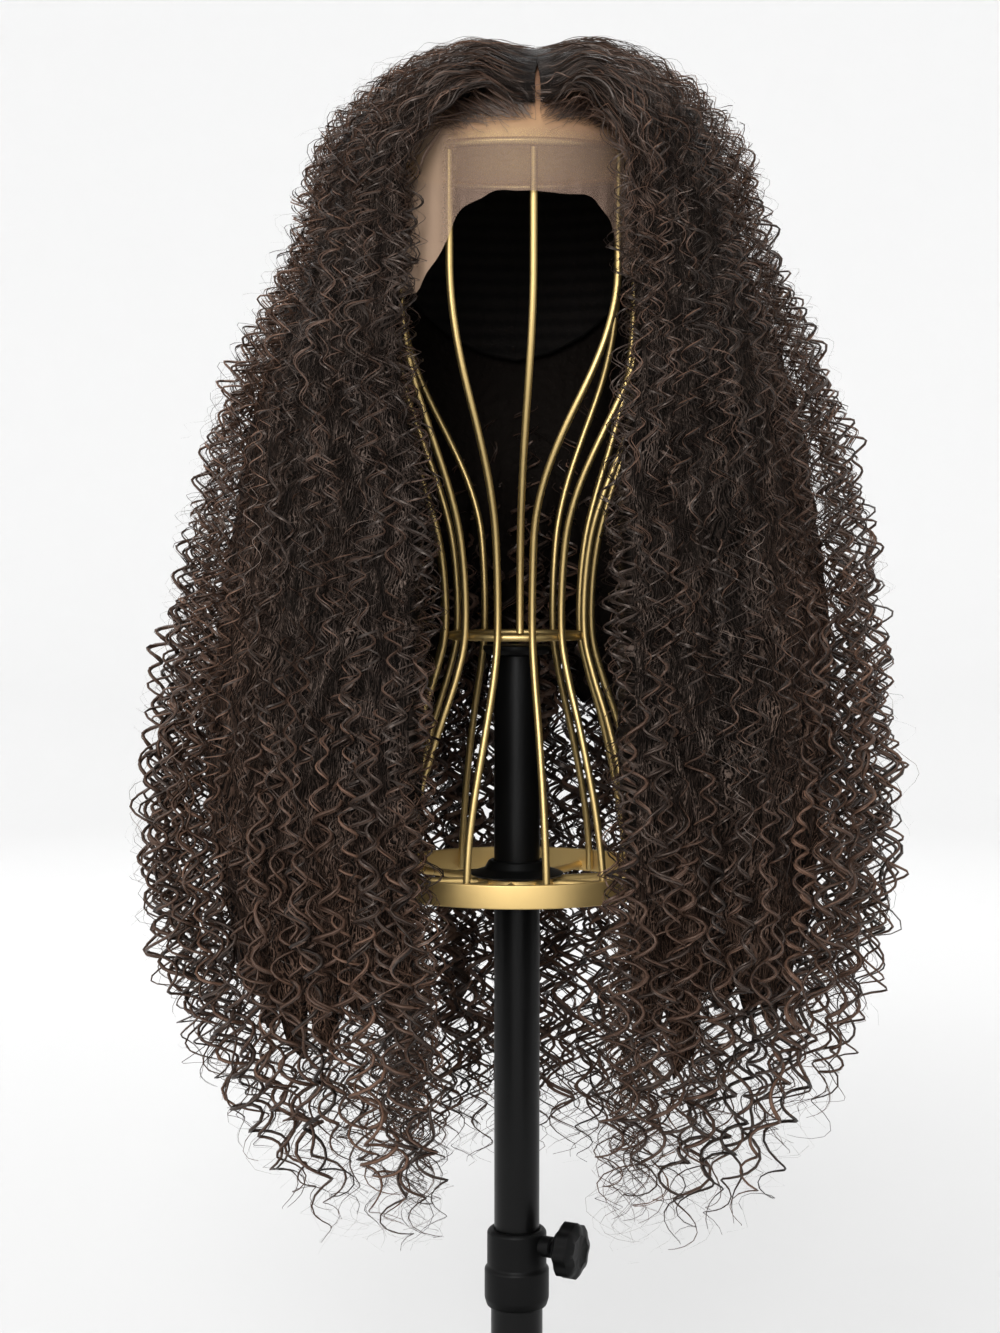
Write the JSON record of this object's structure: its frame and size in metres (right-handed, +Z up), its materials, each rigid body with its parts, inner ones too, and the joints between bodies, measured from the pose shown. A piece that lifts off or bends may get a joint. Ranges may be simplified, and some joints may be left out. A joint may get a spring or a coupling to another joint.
{
  "type": "lace front wig on a wire stand",
  "caption": "Long dark curly lace front wig with a middle parting, a sheer beige front edge and a dark cap, on a gold wire head stand with a black pole.",
  "frame": {"origin": "middle of the underside of the foot, on the floor under the pole", "axes": "+Z up along the pole, -Y towards the viewer and the front of the wig, +X to the viewer's right"},
  "size_m": [0.4503, 0.3019, 0.9162],
  "materials": {
    "hair": "soft sheen, curly",
    "lace": "sheer fine net",
    "cap_mesh": "matt stretch net",
    "gold": "satin gold",
    "black_tube": "satin black",
    "black_plastic": "fine matt"
  },
  "bodies": {
    "root": {"lace_front": "lace", "cap": "cap_mesh", "hair_left": "hair", "hair_right": "hair", "hair_back": "hair", "top_dome": "gold", "neck_ring": "gold", "base_ring": "gold", "pole": "black_tube", "lower_tube": "black_tube", "base_plate": "black_tube", "pole_plug": "black_plastic", "pole_socket": "black_plastic", "collar": "black_plastic", "clamp_knob": "black_plastic", "wire_01": "gold", "wire_02": "gold", "wire_03": "gold", "wire_04": "gold", "wire_05": "gold", "wire_06": "gold", "wire_07": "gold", "wire_08": "gold", "wire_09": "gold", "wire_10": "gold", "wire_11": "gold", "wire_12": "gold", "wire_13": "gold"}
  },
  "joints": []
}
